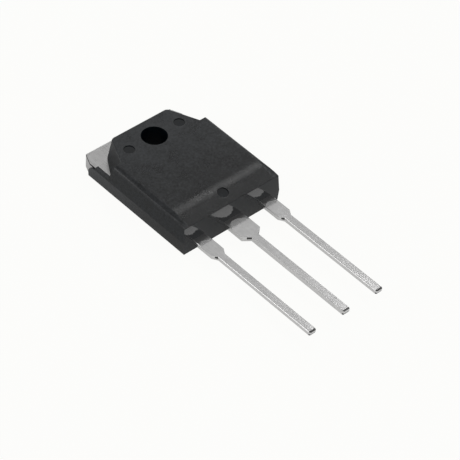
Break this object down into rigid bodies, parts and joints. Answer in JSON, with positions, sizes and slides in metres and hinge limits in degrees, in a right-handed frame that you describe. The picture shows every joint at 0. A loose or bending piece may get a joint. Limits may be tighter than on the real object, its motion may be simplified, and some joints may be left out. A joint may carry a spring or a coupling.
{
  "type": "power transistor",
  "caption": "Flat moulded power transistor with exposed metal ears, a screw hole and a row of long flat leads, with its die and bond wires inside.",
  "frame": {"origin": "where the screw hole's axis meets the metal back", "axes": "+Z out of the front face, +Y towards the metal ears, the leads along -Y, +X across the width towards the emitter lead"},
  "size_m": [0.0156, 0.0403, 0.0048],
  "materials": {
    "moulded_epoxy": "satin",
    "plated_plate": "satin",
    "tinned_lead": "satin",
    "silicon": "polished",
    "solder": "satin",
    "bond_wire": "satin"
  },
  "bodies": {
    "root": {"moulding": "moulded_epoxy", "collector_plate": "plated_plate", "base_lead": "tinned_lead", "emitter_lead": "tinned_lead", "die": "silicon", "die_solder": "solder", "base_wire": "bond_wire", "emitter_wire_inner": "bond_wire", "emitter_wire_outer": "bond_wire"}
  },
  "joints": []
}
